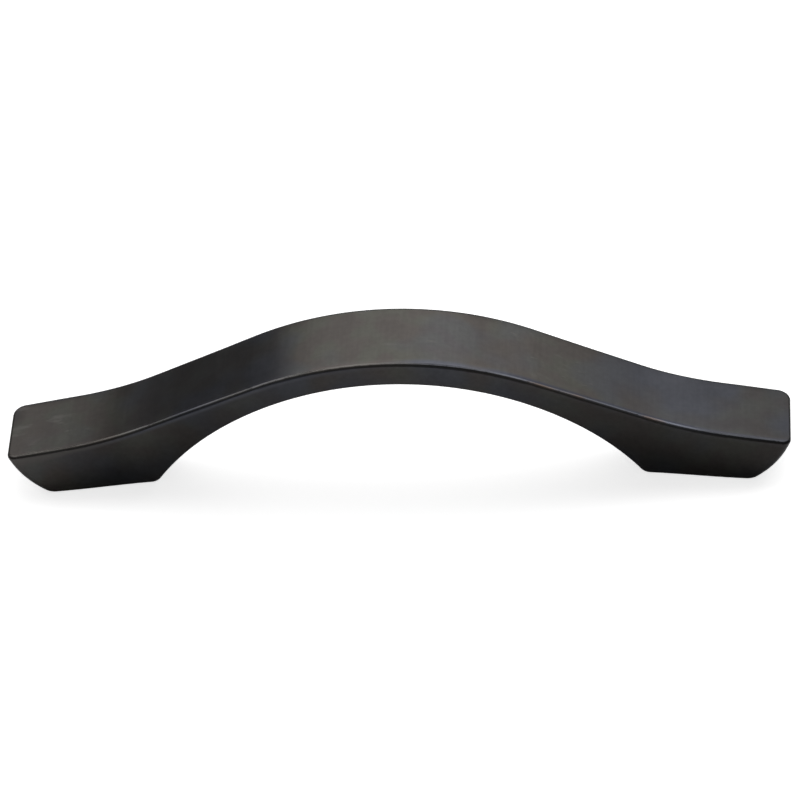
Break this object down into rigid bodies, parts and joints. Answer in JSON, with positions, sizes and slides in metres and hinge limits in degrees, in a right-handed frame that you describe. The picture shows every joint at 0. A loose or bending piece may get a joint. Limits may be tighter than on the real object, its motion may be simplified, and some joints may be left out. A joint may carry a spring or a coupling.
{
  "type": "arch pull",
  "caption": "Cast bow pull for a cabinet door or drawer, with swept-back flat ends and a tapped foot under each end, in a dark bronze finish.",
  "frame": {"origin": "on the door's face, midway between the two screw holes", "axes": "+X from foot to foot, +Y across the band, +Z away from the door"},
  "size_m": [0.1238, 0.014, 0.026],
  "materials": {
    "dark_bronze": "satin dark oil-rubbed bronze plating over cast zinc"
  },
  "bodies": {
    "root": {"arch_pull": "dark_bronze"}
  },
  "joints": []
}
